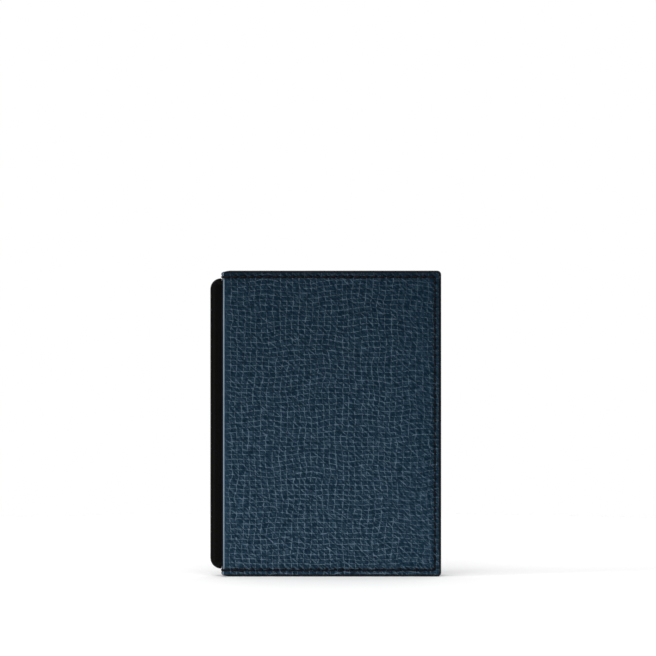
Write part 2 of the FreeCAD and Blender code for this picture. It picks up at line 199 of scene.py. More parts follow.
def seam_relief_and_painted_light(x, z, stitches):
    """How the seam marks the leather's relief and its painted light: below 0 in holes and the groove, which
    the shader paints as shade, above 0 on pulled folds, which it paints as highlights.
    """
    marks = np.zeros_like(x)
    in_row = np.abs(stitches[:, 1, 0] - stitches[:, 0, 0]) > np.abs(stitches[:, 1, 2] - stitches[:, 0, 2])
    for (start, end), row in zip(stitches, in_row):
        far_end, low_end = max(start, end, key=lambda p: p[0]), min(start, end, key=lambda p: p[2])
        hole = far_end if row else low_end
        dx, dz = (x - hole[0]) / MM - 0.25 * row, (z - hole[2]) / MM
        near = np.hypot(dx, dz) < 3
        dx, dz = dx[near], dz[near]
        beside, along = (dx + dz) / math.sqrt(2), (dx - dz) / math.sqrt(2)
        mark = -np.exp(-(dx ** 2 + (dz - 0.08) ** 2) / 0.42 ** 2)
        if row:
            reach = smooth((along + 1.7) / 0.8) * smooth((0.45 - along) / 0.5)
            mark += 0.85 * np.exp(-((beside - 0.52) / 0.24) ** 2) * reach
            mark -= 0.45 * np.exp(-((beside - 0.02) / 0.22) ** 2) * reach
        else:
            mark += 0.55 * np.exp(-((dx - 0.62) / 0.2) ** 2 - ((dz - 1.4) / 0.75) ** 2)
        marks[near] += mark
    return marks


# ---- meshes ---------------------------------------------------------------------------------------
def mesh_object(name, vertices, faces, body, attributes=None):
    """A smooth-shaded object that rides on a body. attributes holds a value or a vector per vertex."""
    mesh = bpy.data.meshes.new(name)
    mesh.from_pydata([tuple(v) for v in vertices], [], [tuple(int(i) for i in f) for f in faces])
    for key, values in (attributes or {}).items():
        values = np.asarray(values, dtype=np.float32)
        kind = "FLOAT_VECTOR" if values.ndim == 2 else "FLOAT"
        layer = mesh.attributes.new(key, kind, "POINT")
        layer.data.foreach_set("vector" if values.ndim == 2 else "value", values.ravel())
    mesh.update()
    bm = bmesh.new()
    bm.from_mesh(mesh)
    bmesh.ops.recalc_face_normals(bm, faces=bm.faces)
    bm.to_mesh(mesh)
    bm.free()
    mesh.polygons.foreach_set("use_smooth", [True] * len(mesh.polygons))
    obj = bpy.data.objects.new(name, mesh)
    bpy.context.scene.collection.objects.link(obj)
    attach(obj, body)
    return obj


def graded(start, end, step, fine_start=True):
    """Stations from start to end about a step apart, closer together at the ends that round over."""
    lead = np.array([0, 0.08, 0.17, 0.28, 0.45, 0.68, 0.95]) * MM
    a = start + lead if fine_start else np.array([start])
    b = end - lead[::-1]
    count = max(2, round((b[0] - a[-1]) / step))
    return np.concatenate([a[:-1], np.linspace(a[-1], b[0], count + 1), b[1:]])


def loft_faces(rows, cols):
    """Faces of a closed form made of rows rings, each of cols vertices, with a cap at both ends."""
    index = np.arange(rows * cols).reshape(rows, cols)
    after = np.roll(index, -1, axis=1)
    faces = np.stack([index[:-1], after[:-1], after[1:], index[1:]], axis=2).reshape(-1, 4).tolist()
    return faces + [index[0][::-1].tolist(), index[-1].tolist()]


def corner_inset(distance, radius):
    """How far a rounded corner draws the outline in, at a distance from the corner's other side."""
    gap = np.clip(radius - distance, 0, radius)
    return radius - np.sqrt(radius ** 2 - gap ** 2)


def wall_profile(x_low, x_high, x_fine, face_y, out, wall, leather, hem):
    """Cross-section of a leather sheet: [x, y, normal x, normal y, visible, skin length] per point.

    It runs along the visible face from the far edge, round the mouth's nose and, with a hem, back
    inside over the board. out is -1 or +1, the side that the face looks to."""
    r = wall / 2
    rows = []
    face = graded(x_low + r, x_high, SKIN_STEP, fine_start=False)
    if x_fine < x_high:
        face = np.concatenate([face[face <= x_fine], face[face > x_fine][::12], [x_high]])
    for x in face[::-1]:
        rows.append((x, face_y, 0, out, 1, x))
    for angle in np.linspace(0, math.pi, 12)[1:-1]:
        nx, ny = -math.sin(angle), out * math.cos(angle)
        rows.append((x_low + r + r * nx, face_y - out * r + r * ny, nx, ny, 1, x_low + r - r * angle))
    inner_y = face_y - out * wall
    skin = x_low + r - r * math.pi
    if hem:
        for share in (0, 0.3, 0.6, 0.9, 1):
            rows.append((x_low + r + (hem - r) * share, inner_y, 0, 0, 0, skin - (hem - r) * share))
        rows.append((x_low + hem, inner_y + out * RETURN, 0, 0, 0, skin - hem))
        rows.append((x_low + r, inner_y + out * RETURN, 0, 0, 0, skin - hem))
        rows.append((x_low + r, face_y - out * leather, 0, 0, 0, skin - hem))
    else:
        rows.append((x_low + r, inner_y, 0, 0, 0, skin))
    rows.append((x_high, face_y - out * leather, 0, 0, 0, skin - hem - 1 * MM))
    return np.array(rows)


def paint(obj, mat):
    obj.data.materials.clear()
    obj.data.materials.append(mat)


def leather_wall(name, node, out, pillow, stitches, x_fine=None, leather=None, hem=0.0, wall=None,
                 skin_shift=0.0):
    """A sheet of grained leather in place of a CAD node, as one closed mesh with its seams sunk into it.

    Beyond x_fine another layer covers it, so its mesh is coarse there. skin_shift moves the grain."""
    lo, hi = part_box(node)
    wall = wall or hi[1] - lo[1]
    leather = leather or wall
    face_y = lo[1] if out < 0 else hi[1]
    profile = wall_profile(lo[0], hi[0], x_fine or hi[0], face_y, out, wall, leather, hem)
    stations = graded(lo[2], hi[2], SKIN_STEP)
    z = np.repeat(stations, len(profile)).reshape(len(stations), -1)
    x, y, nx, ny, seen, skin = (np.tile(profile[:, i], (len(stations), 1)) for i in range(6))
    to_end = np.minimum(z - lo[2], hi[2] - z)
    mouth_r = MOUTH_CORNER_R if lo[0] == mouth_x else 0.6 * wall
    to_low, to_high = x - lo[0], hi[0] - x
    flare = MOUTH_FLARE * np.exp(-((to_end - 0.9 * MM) / (1.1 * MM)) ** 2) - 0.10 * MM
    x = x - flare * smooth(1 - to_low / MOUTH_BLEND)
    x = x + corner_inset(to_end, mouth_r) * smooth(1 - to_low / CORNER_BLEND)
    x = x - corner_inset(to_end, FAR_CORNER_R) * smooth(1 - to_high / CORNER_BLEND)
    rim = np.minimum(to_end, hi[0] - x)
    marks = seam_relief_and_painted_light(x, z, stitches)
    height = face_relief(x, z, stitches.reshape(-1, 3), pillow, lo[0]) - corner_inset(rim, FACE_ROUND)
    height += MARK_RISE * marks
    height = np.where(seen > 0, height, 0)
    x, y = x + nx * height, y + ny * height
    vertices = np.stack([x, y, z], axis=2).reshape(-1, 3)
    in_mm = np.stack([(skin + skin_shift) / MM, z / MM, np.zeros_like(z)], axis=2).reshape(-1, 3)
    calm = smooth((x - lo[0] - 0.2 * MM) / (3.2 * MM)) if hem else smooth((x - lo[0]) / (1.5 * MM))
    obj = mesh_object(name, vertices, loft_faces(len(stations), len(profile)), "sleeve", {
        "skin": in_mm,
        "rim": (rim / MM).ravel(),
        "grain": (calm * (0.35 + 0.65 * smooth((rim - 0.1 * MM) / (0.5 * MM)))).ravel(),
        "seen": seen.ravel(),
        "fold": ((skin - lo[0]) / MM).ravel(),
        "marks": (marks * seen).ravel(),
    })
    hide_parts(node)
    relief_modifier(obj)
    paint(obj, FINISHES["leather_blue"])


def tube(points, radius):
    """Vertices and faces of a twisted thread along points (an array of xyz), closed at both ends."""
    points = np.asarray(points)
    tangent = np.gradient(points, axis=0)
    tangent /= np.linalg.norm(tangent, axis=1)[:, None]
    side = np.cross(tangent, [0, 1, 0])
    side[np.linalg.norm(side, axis=1) < 0.2] = side[np.argmax(np.linalg.norm(side, axis=1))]
    side /= np.linalg.norm(side, axis=1)[:, None]
    up = np.cross(side, tangent)
    length = np.concatenate([[0], np.cumsum(np.linalg.norm(np.diff(points, axis=0), axis=1))]) / MM
    angle = np.linspace(0, 2 * math.pi, THREAD_SIDES, endpoint=False)
    taper = np.ones(len(points))
    taper[[0, -1]] = 0.45
    vertices = []
    for i, p in enumerate(points):
        lobe = 1 + 0.13 * np.cos(THREAD_PLIES * (angle - 2 * math.pi * TWIST_PER_MM * length[i]))
        r = radius * lobe * taper[i]
        vertices.append(p + np.outer(r * np.cos(angle), side[i]) + np.outer(r * np.sin(angle), up[i]))
    return np.concatenate(vertices), loft_faces(len(points), THREAD_SIDES)


def join(name, node, body, slot, parts):
    """One object of many closed parts, each (vertices, faces), in place of a CAD node."""
    vertices, faces = [], []
    count = 0
    for v, f in parts:
        vertices.append(v)
        faces += [[i + count for i in face] for face in f]
        count += len(v)
    obj = mesh_object(name, np.concatenate(vertices), faces, body)
    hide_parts(node)
    paint(obj, FINISHES[slot])


def stitch_points(start, end, surface_y, out):
    """Centre line of one visible stitch: up out of its hole, over the leather and down again."""
    t = np.concatenate([[-0.09, -0.04], np.linspace(0.02, 0.98, 13), [1.04, 1.09]])
    line = start + np.outer(t, end - start)
    arch = np.clip(np.sin(np.clip(t, 0, 1) * math.pi), 0, 1) ** 0.35
    dive = np.where((t < 0) | (t > 1), 1.0, 0.0) * 0.42 * MM
    line[:, 1] = surface_y - out * (0.17 * MM * (1 - arch) + dive) + out * 0.03 * MM
    return line


def sewn(name, node, stitches, faces_y, out, doubled_before=-1.0):
    """Every stitch of a sleeve seam. Those before doubled_before are sewn twice, so they're thicker."""
    tubes = []
    for (start, end), y in zip(stitches, faces_y):
        across = abs(end[0] - start[0]) > abs(end[2] - start[2])
        radius = THREAD_R * (1.45 if max(start[0], end[0]) < doubled_before else 1.05 if across else 0.88)
        tubes.append(tube(stitch_points(start, end, y, out), radius))
    join(name, node, "sleeve", "thread", tubes)


# ---- shader and geometry nodes --------------------------------------------------------------------
class Nodes:
    """Short calls that build one node tree. A value is a number, a tuple or another node's socket."""

    def __init__(self, tree):
        self.tree = tree

    def feed(self, socket, value):
        if isinstance(value, bpy.types.NodeSocket):
            self.tree.links.new(value, socket)
        elif value is not None:
            socket.default_value = value

    def add(self, kind, inputs=None, **settings):
        node = self.tree.nodes.new(kind)
        for key, value in settings.items():
            setattr(node, key, value)
        for key, value in (inputs or {}).items():
            self.feed(node.inputs[key], value)
        return node

    def math(self, operation, a, b=None, c=None):
        node = self.add("ShaderNodeMath", operation=operation)
        for i, value in enumerate((a, b, c)):
            if value is not None:
                self.feed(node.inputs[i], value)
        return node.outputs[0]

    def vector(self, x, y, z=0.0):
        return self.add("ShaderNodeCombineXYZ", {0: x, 1: y, 2: z}).outputs[0]

    def noise(self, vector, scale, detail=2.0, roughness=0.5, output="Fac"):
        node = self.add("ShaderNodeTexNoise", {
            "Vector": vector, "Scale": scale, "Detail": detail, "Roughness": roughness,
        })
        return node.outputs[output]

    def cells(self, vector, scale):
        node = self.add("ShaderNodeTexVoronoi", {"Vector": vector, "Scale": scale}, feature="SMOOTH_F1")
        return node.outputs["Distance"]

    def lines(self, along, spacing, randomness):
        """Distance in mm to the nearest of a family of parallel lines, unevenly spaced."""
        node = self.add("ShaderNodeTexVoronoi", {
            "W": self.math("DIVIDE", along, spacing), "Scale": 1.0, "Randomness": randomness,
        }, voronoi_dimensions="1D", feature="DISTANCE_TO_EDGE")
        return self.math("MULTIPLY", node.outputs["Distance"], spacing)

    def fade(self, value, low, high, to_low=0.0, to_high=1.0, kind="SMOOTHSTEP"):
        node = self.add("ShaderNodeMapRange", interpolation_type=kind)
        for key, given in (
            ("Value", value), ("From Min", low), ("From Max", high), ("To Min", to_low), ("To Max", to_high),
        ):
            self.feed(node.inputs[key], given)
        return node.outputs[0]

    def ramp(self, value, stops):
        node = self.add("ShaderNodeValToRGB")
        elements = node.color_ramp.elements
        while len(elements) < len(stops):
            elements.new(0.5)
        for element, (position, colour) in zip(elements, stops):
            element.position = position
            element.color = (*colour, 1)
        self.feed(node.inputs[0], value)
        return node.outputs["Color"]

    def mix(self, factor, a, b):
        node = self.add("ShaderNodeMix", data_type="RGBA")
        self.feed(node.inputs[0], factor)
        for i, value in ((6, a), (7, b)):
            is_colour = isinstance(value, tuple) and len(value) == 3
            self.feed(node.inputs[i], (*value, 1) if is_colour else value)
        return node.outputs[2]


def grain_lines(n, skin, line_half):
    """The leather's raised net: wavy uprights, closer cross lines and broken diagonal creases, 0 to 1.

    skin is the position on the flat leather, in mm; line_half is the half width of a line, in mm."""
    split = n.add("ShaderNodeSeparateXYZ", {0: skin}).outputs
    s, t = split[0], split[1]
    slow = n.add("ShaderNodeSeparateXYZ", {0: n.noise(skin, 0.06, 1.5, output="Color")}).outputs
    quick = n.add("ShaderNodeSeparateXYZ", {0: n.noise(skin, 0.9, 2.0, output="Color")}).outputs
    diagonal = n.math("ADD", s, t)
    across = n.math("SUBTRACT", s, t)
    banded = n.vector(n.math("MULTIPLY", diagonal, 0.38), n.math("MULTIPLY", across, 0.08), 3.0)
    shift = n.math("SUBTRACT", n.noise(banded, 1.0, 1.0), 0.5)
    toward_corner = n.math("SUBTRACT", s, n.math("MULTIPLY", t, 0.55))
    toward_corner = n.math("MULTIPLY_ADD", n.math("SUBTRACT", slow[0], 0.5), 30.0, toward_corner)
    loose = n.fade(toward_corner, -18.0, 22.0)

    def warped(base, slow_noise, quick_noise, shifted):
        moved = n.math("MULTIPLY_ADD", n.math("SUBTRACT", slow_noise, 0.5), 5.0, base)
        moved = n.math("MULTIPLY_ADD", n.math("SUBTRACT", quick_noise, 0.5), 0.20, moved)
        return n.math("MULTIPLY_ADD", shift, shifted, moved)

    u, v = warped(s, slow[0], quick[0], 1.0), warped(t, slow[1], quick[1], 0.6)
    slant = n.math("MULTIPLY", n.math("MULTIPLY_ADD", u, 0.86, v), 0.72)
    families = (
        (u, 2.12, 0.30, (0.40, 0.15, 9.0), n.math("MULTIPLY_ADD", loose, 0.16, 0.22), 0.42, 0.95),
        (v, 1.70, 0.22, (0.16, 0.45, 21.0), 0.18, 0.58, 0.92),
        (slant, 1.60, 0.9, (0.35, 0.35, 37.0), n.math("MULTIPLY_ADD", loose, -0.07, 0.46), 0.15, 0.9),
    )
    net = None
    for along, spacing, randomness, (ks, kt, seed), cut, faint, strong in families:
        line = n.fade(n.lines(along, spacing, randomness), line_half, 0.0)
        place = n.vector(n.math("MULTIPLY", s, ks), n.math("MULTIPLY", t, kt), seed)
        above = n.math("SUBTRACT", n.noise(place, 1.0, 2.0), cut)
        family = n.math("MULTIPLY", line, n.fade(above, 0.0, 0.26, faint, strong))
        net = family if net is None else n.math("MAXIMUM", net, family)
    return net


def hatch(n, skin):
    """Short fine strokes along the leather's diagonal, as a noise value."""
    split = n.add("ShaderNodeSeparateXYZ", {0: skin}).outputs
    diagonal = n.math("MULTIPLY", n.math("ADD", split[0], split[1]), 1.05)
    across = n.math("MULTIPLY", n.math("SUBTRACT", split[0], split[1]), 0.30)
    return n.noise(n.vector(diagonal, across), 1.0, 2.0, 0.65)


def relief_modifier(obj):
    """Raises the grain's net on the mesh itself, where the leather is seen."""
    tree = bpy.data.node_groups.get("grain_relief")
    if tree is None:
        tree = bpy.data.node_groups.new("grain_relief", "GeometryNodeTree")
        tree.interface.new_socket("Geometry", in_out="INPUT", socket_type="NodeSocketGeometry")
        tree.interface.new_socket("Geometry", in_out="OUTPUT", socket_type="NodeSocketGeometry")
        n = Nodes(tree)
        start, end = n.add("NodeGroupInput"), n.add("NodeGroupOutput")
        skin, grain, seen = (
            n.add("GeometryNodeInputNamedAttribute", {"Name": name}, data_type=kind).outputs[0]
            for name, kind in (("skin", "FLOAT_VECTOR"), ("grain", "FLOAT"), ("seen", "FLOAT"))
        )
        net = grain_lines(n, skin, 0.45)
        height = n.math("MULTIPLY", n.math("MULTIPLY", net, n.math("MULTIPLY", grain, seen)), NET_RELIEF)
        normal = n.add("GeometryNodeInputNormal").outputs[0]
        offset = n.add("ShaderNodeVectorMath", {0: normal}, operation="SCALE")
        n.feed(offset.inputs["Scale"], height)
        moved = n.add("GeometryNodeSetPosition", {
            "Geometry": start.outputs[0], "Offset": offset.outputs[0],
        })
        n.feed(end.inputs[0], moved.outputs[0])
    obj.modifiers.new("grain", "NODES").node_group = tree
    depsgraph = bpy.context.evaluated_depsgraph_get()
    finished = bpy.data.meshes.new_from_object(obj.evaluated_get(depsgraph))
    obj.modifiers.clear()
    obj.data = finished


def material(name):
    """A new material, the calls that build its nodes, and its shader."""
    mat = bpy.data.materials.new(name)
    mat.use_nodes = True
    tree = mat.node_tree
    shader = tree.nodes["Principled BSDF"]
    return mat, Nodes(tree), shader


def attribute(n, name, output="Vector"):
    return n.add("ShaderNodeAttribute", attribute_name=name).outputs[output]


def object_mm(n):
    """Object coordinates in mm, for pieces with no skin coordinates of their own."""
    coordinates = n.add("ShaderNodeTexCoord").outputs["Object"]
    scaled = n.add("ShaderNodeVectorMath", {0: coordinates}, operation="SCALE")
    scaled.inputs["Scale"].default_value = 1 / MM
    return scaled.outputs[0]


def bump(n, height, distance, shader):
    """Fine relief by shading alone, where height spans distance from 0 to 1."""
    node = n.add("ShaderNodeBump", {"Height": height, "Distance": distance, "Strength": 1.0})
    n.feed(shader.inputs["Normal"], node.outputs[0])


def blue_leather():
    """Blue leather: a pale raised net over dark cells, marked by its seams, black where turned in, with
    painted shade in the seams' holes, along the margins and towards the top, and painted highlights on the
    seams' pulled folds and along the mouth's fold.
    """
    mat, n, shader = material("grained_blue_leather")
    skin = attribute(n, "skin")
    grain, rim, fold, marks = (attribute(n, name, "Fac") for name in ("grain", "rim", "fold", "marks"))
    strokes = hatch(n, skin)
    beads = n.fade(strokes, 0.38, 0.62, 0.15, 1.65, "LINEAR")
    across_mm, height_mm = n.add("ShaderNodeSeparateXYZ", {0: skin}).outputs[:2]
    firm = n.math("MULTIPLY", grain, n.fade(across_mm, 16.0, 34.0, 1.0, 0.68))
    net = n.math("MULTIPLY", n.math("MULTIPLY", grain_lines(n, skin, 0.17), firm), beads)
    halo = n.math("MULTIPLY", grain_lines(n, skin, 0.50), firm)
    fine = n.noise(skin, 2.6, 3.0, 0.7)
    patch = n.noise(skin, 0.07, 3.0, 0.55)
    grit = n.math("MULTIPLY_ADD", strokes, 0.56, n.math("MULTIPLY", fine, 0.32))
    cell = n.ramp(n.math("MULTIPLY_ADD", patch, 0.06, n.math("ADD", grit, 0.03)), [
        (0.41, (0.0012, 0.0130, 0.0275)),
        (0.50, (0.0078, 0.0300, 0.0550)),
        (0.59, (0.0360, 0.0750, 0.1160)),
    ])
    crest = n.mix(strokes, (0.090, 0.158, 0.228), (0.230, 0.325, 0.420))
    body = n.mix(n.math("MULTIPLY", halo, 0.42), cell, (0.0010, 0.0095, 0.0210))
    rested = n.mix(n.fade(grain, 1.0, 0.3, 0.0, 0.42), body, (0.0240, 0.0570, 0.0940))
    raised = n.mix(n.math("MULTIPLY", net, 0.84), rested, crest)
    # Painted highlight on the folds the seam pulls up, and painted shade in its holes and groove: colour
    # standing in for the light they catch and the shade they hold.
    painted_fold_highlight = n.mix(n.fade(marks, 0.0, 0.9, 0.0, 0.6), raised, (0.085, 0.130, 0.175))
    painted_hole_shade = n.mix(n.fade(marks, 0.0, -0.8, 0.0, 0.9), painted_fold_highlight, (0.0010, 0.0016, 0.0026))
    # Painted shade: the leather is darker along its margins inside the painted edge, hardly at all along the
    # bottom and fully from about 12 mm up.
    shade = n.math("MULTIPLY", n.fade(rim, 0.6, 1.9, 1.0, 0.0), n.fade(height_mm, 3.0, 12.0, 0.02, 0.46))
    margin_with_painted_shade = n.mix(shade, painted_hole_shade, (0.0030, 0.0180, 0.0340))
    # Painted shade: the leather's colour darkens steadily from near the bottom to the top, where less light
    # comes up from the floor.
    painted_shade_to_top = n.mix(n.fade(height_mm, 8.0, 112.0, 0.0, 0.46, "LINEAR"), margin_with_painted_shade, (0.0015, 0.0080, 0.0165))
    # Painted highlight: a pale blue-grey stripe along the mouth's rounded fold, where it catches the light,
    # made as paler colour rather than gloss.
    crease = n.fade(n.math("ABSOLUTE", n.math("SUBTRACT", fold, 0.56)), 0.05, 0.17, 1.0, 0.0)
    painted_nose_highlight = n.math("MULTIPLY", crease, n.fade(fine, 0.3, 0.7, 0.8, 1.0))
    with_painted_nose_highlight = n.mix(painted_nose_highlight, painted_shade_to_top, (0.38, 0.49, 0.61))
    turned = n.mix(n.fade(fold, 0.38, 0.22), with_painted_nose_highlight, (0.012, 0.012, 0.012))
    lapped = n.mix(n.fade(rim, 0.48, 0.26), turned, (0.0050, 0.0052, 0.0060))
    n.feed(shader.inputs["Base Color"], lapped)
    n.feed(shader.inputs["Roughness"], n.fade(net, 0.0, 1.0, 0.52, 0.38, "LINEAR"))
    shader.inputs["Specular IOR Level"].default_value = 0.055
    height = n.math("MULTIPLY_ADD", strokes, 0.6, net)
    height = n.math("MULTIPLY_ADD", fine, 0.25, height)
    bump(n, height, 0.09 * MM, shader)
    return mat


def black_leather():
    """Fine pebbled black leather, a little paler in its tooled crease."""
    mat, n, shader = material("fine_black_leather")
    place = object_mm(n)
    crease = attribute(n, "crease", "Fac")
    pebble = n.cells(place, 2.6)
    fine = n.noise(place, 5.0, 3.0, 0.6)
    pebbled = n.ramp(fine, [
        (0.30, (0.0016, 0.0016, 0.0015)),
        (0.70, (0.0046, 0.0046, 0.0042)),
    ])
    creased = n.mix(n.math("MULTIPLY", crease, 0.7), pebbled, (0.0110, 0.0110, 0.0105))
    n.feed(shader.inputs["Base Color"], creased)
    n.feed(shader.inputs["Roughness"], n.fade(fine, 0.3, 0.7, 0.50, 0.66, "LINEAR"))
    shader.inputs["Specular IOR Level"].default_value = 0.045
    bump(n, n.math("MULTIPLY_ADD", pebble, -0.8, n.math("MULTIPLY", fine, 0.5)), 0.11 * MM, shader)
    return mat


def edge_coat():
    """Satin black paint on the cut edges."""
    mat, n, shader = material("painted_edge")
    place = object_mm(n)
    wave = n.noise(place, 0.9, 3.0)
    n.feed(shader.inputs["Base Color"], n.ramp(wave, [
        (0.3, (0.004, 0.004, 0.0045)), (0.7, (0.009, 0.0088, 0.009)),
    ]))
    n.feed(shader.inputs["Roughness"], n.fade(wave, 0.3, 0.7, 0.30, 0.46, "LINEAR"))
    shader.inputs["Specular IOR Level"].default_value = 0.28
    bump(n, wave, 0.06 * MM, shader)
    return mat


def thread():
    """Waxed black thread."""
    mat, n, shader = material("waxed_thread")
    place = object_mm(n)
    fibre = n.noise(place, 9.0, 3.0, 0.65)
    n.feed(shader.inputs["Base Color"], n.ramp(fibre, [
        (0.3, (0.0024, 0.0019, 0.0028)), (0.75, (0.0085, 0.0066, 0.0095)),
    ]))
    n.feed(shader.inputs["Roughness"], n.fade(fibre, 0.3, 0.7, 0.42, 0.62, "LINEAR"))
    shader.inputs["Specular IOR Level"].default_value = 0.12
    bump(n, fibre, 0.04 * MM, shader)
    return mat


def lining():
    """Dark woven cloth."""
    mat, n, shader = material("woven_lining")
    split = n.add("ShaderNodeSeparateXYZ", {0: object_mm(n)}).outputs
    warp = n.math("SINE", n.math("MULTIPLY", split[0], 2 * math.pi / 0.36))
    weft = n.math("SINE", n.math("MULTIPLY", split[2], 2 * math.pi / 0.36))
    weave = n.math("MULTIPLY", warp, weft)
    n.feed(shader.inputs["Base Color"], n.ramp(n.fade(weave, -1.0, 1.0), [
        (0.0, (0.0040, 0.0044, 0.0052)), (1.0, (0.0150, 0.0160, 0.0185)),
    ]))
    n.feed(shader.inputs["Roughness"], n.fade(weave, -1.0, 1.0, 0.70, 0.52, "LINEAR"))
    shader.inputs["Sheen Weight"].default_value = 0.15
    bump(n, weave, 0.05 * MM, shader)
    return mat


def board():
    """Brown bonded leather board."""
    mat, n, shader = material("bonded_leather_board")
    place = object_mm(n)
    fibre = n.noise(place, 1.6, 5.0, 0.7)
    n.feed(shader.inputs["Base Color"], n.ramp(fibre, [
        (0.3, (0.11, 0.075, 0.048)), (0.7, (0.26, 0.19, 0.125)),
    ]))
    n.feed(shader.inputs["Roughness"], n.fade(fibre, 0.3, 0.7, 0.75, 0.95, "LINEAR"))
    bump(n, fibre, 0.06 * MM, shader)
    return mat


def film():
    """Clear, slightly scuffed plastic."""
    mat, n, shader = material("clear_film")
    scuff = n.noise(object_mm(n), 0.5, 4.0, 0.6)
    shader.inputs["Base Color"].default_value = (0.93, 0.95, 0.96, 1)
    shader.inputs["Transmission Weight"].default_value = 1.0
    shader.inputs["IOR"].default_value = 1.5
    n.feed(shader.inputs["Roughness"], n.fade(scuff, 0.3, 0.7, 0.03, 0.12, "LINEAR"))
    bump(n, scuff, 0.05 * MM, shader)
    return mat


def floor_paper():
    """Plain matt white paper."""
    mat, _, shader = material("studio_floor")
    shader.inputs["Base Color"].default_value = (0.93, 0.93, 0.93, 1)
    shader.inputs["Roughness"].default_value = 0.9
    shader.inputs["Specular IOR Level"].default_value = 0.1
    return mat


FINISHES = {
    "leather_blue": blue_leather(), "leather_black": black_leather(), "edge_paint": edge_coat(),
    "thread": thread(), "lining": lining(), "board": board(), "clear_film": film(),
}


# ---- sleeve ---------------------------------------------------------------------------------------
leather_wall("front_cover_skin", "front_cover", -1, PILLOW, front_stitches,
             leather=LEATHER, hem=HEM_DEPTH, wall=front_wall)
leather_wall("back_panel_skin", "back_panel", 1, PANEL_PILLOW, back_stitches,
             x_fine=slot_mouths[0] + SLOT_OVERLAP, leather=PANEL_LEATHER, hem=HEM_DEPTH,
             wall=back_wall, skin_shift=140 * MM)
leather_wall("slot_facing_1_skin", "slot_facing_1", 1, FACING_PILLOW, back_stitches,
             x_fine=slot_mouths[1] + SLOT_OVERLAP, skin_shift=220 * MM)
leather_wall("slot_facing_2_skin", "slot_facing_2", 1, FACING_PILLOW, back_stitches,
             x_fine=slot_mouths[2] + SLOT_OVERLAP, skin_shift=310 * MM)
leather_wall("outer_pocket_skin", "outer_pocket", 1, POCKET_PILLOW, back_stitches, skin_shift=400 * MM)


def surface_y(stitches, face_y, out, pillow, x_start):
    """Y of the leather's surface under the middle of each stitch."""
    middle = stitches.mean(axis=1)
    holes = stitches.reshape(-1, 3)
    lift = face_relief(middle[:, 0], middle[:, 2], holes, pillow, x_start)
    return face_y + out * (lift + THREAD_R * 0.75)


sewn("front_seam_stitches", "front_seam_thread", front_stitches,
     surface_y(front_stitches, front_y, -1, PILLOW, mouth_x), -1, mouth_x + DOUBLED_REACH)
back_faces = back_stitches.mean(axis=1)[:, 1] + THREAD_R / 2
sewn("back_seam_stitches", "back_seam_thread", back_stitches,
     surface_y(back_stitches, back_faces, 1, FACING_PILLOW, mouth_x), 1)


def mouth_wrap(z):
    """Centre line of the thread from a hole in the cover, round the mouth, to the back panel."""
    reach = mouth_x + WRAP_REACH
    lift = THREAD_R * 0.3
    front_r, back_r = front_wall / 2, back_wall / 2
    points = [(reach + 0.1 * MM, front_y + 0.5 * MM), (reach, front_y + 0.22 * MM)]
    points += [(x, front_y + 0.02 * MM) for x in np.linspace(reach - 0.35 * MM, mouth_x + front_r, 6)]
    for angle in np.linspace(0.2, math.pi / 2, 6):
        r = front_r + lift
        points.append((mouth_x + front_r - r * math.sin(angle), front_y + front_r - r * math.cos(angle)))
    for y in np.linspace(front_y + front_r, back_y - back_r, 6)[1:-1]:
        points.append((mouth_x - lift, y))
    for angle in np.linspace(math.pi / 2, 0.2, 6):
        r = back_r + lift
        points.append((mouth_x + back_r - r * math.sin(angle), back_y - back_r + r * math.cos(angle)))
    points += [(x, back_y - 0.02 * MM) for x in np.linspace(mouth_x + back_r, reach - 0.35 * MM, 6)]
    points += [(reach, back_y - 0.22 * MM), (reach + 0.1 * MM, back_y - 0.5 * MM)]
    return np.array([(x, y, z) for x, y in points])


join("mouth_wrap_stitches", "mouth_wrap_thread", "sleeve", "thread",
     [tube(mouth_wrap(z), WRAP_R) for z in (seam_base_z, seam_top_z)])


def edge_strip(path, normals, y0, y1, bulge, inset):
    """A painted cut edge: a rounded band along path, in x and z, that stands out by bulge."""
    half, middle = (y1 - y0) / 2, (y0 + y1) / 2
    corner = min(bulge, half)
    section = [(-inset, -half + 0.05 * MM)]
    for angle in np.linspace(0, math.pi / 2, 6):
        across, along = corner * math.sin(angle), corner * math.cos(angle)
        section.append((bulge - corner + across, -half + corner - along))
    section += [(bulge + 0.02 * MM, 0)]
    section += [(n, -y) for n, y in section[-2:0:-1]]
    section += [(-inset, half - 0.05 * MM)]
    section = np.array(section)
    ease = np.ones(len(path))
    ramp_in = np.array([0.15, 0.5, 0.78, 0.93])
    ease[:4], ease[-4:] = ramp_in, ramp_in[::-1]
    vertices = []
    for p, normal, e in zip(path, normals, ease):
        n_out = np.where(section[:, 0] > 0, section[:, 0] * e, section[:, 0])
        xz = p + np.outer(n_out, normal)
        vertices.append(np.stack([xz[:, 0], middle + section[:, 1], xz[:, 1]], axis=1))
    return np.concatenate(vertices), loft_faces(len(path), len(section))


def outline_path(corners, step):
    """Points and outward normals along an open outline of right angles, with its outside on the right.

    Each corner is (x, z, radius)."""
    corners = [np.array(c, dtype=float) for c in corners]
    points = [corners[0][:2]]
    for last, corner, following in zip(corners, corners[1:], corners[2:]):
        before, after = last[:2] - corner[:2], following[:2] - corner[:2]
        before, after = before / np.linalg.norm(before), after / np.linalg.norm(after)
        centre = corner[:2] + (before + after) * corner[2]
        for angle in np.linspace(0, math.pi / 2, 8 if corner[2] > 0 else 1):
            points.append(centre - (after * math.cos(angle) + before * math.sin(angle)) * corner[2])
    points.append(corners[-1][:2])
    path = []
    for a, b in zip(points, points[1:]):
        count = max(1, round(np.linalg.norm(b - a) / step))
        path += [a + (b - a) * k / count for k in range(count)]
    path = np.array(path + [points[-1]])
    tangent = np.gradient(path, axis=0)
    tangent /= np.linalg.norm(tangent, axis=1)[:, None]
    return path, np.stack([tangent[:, 1], -tangent[:, 0]], axis=1)


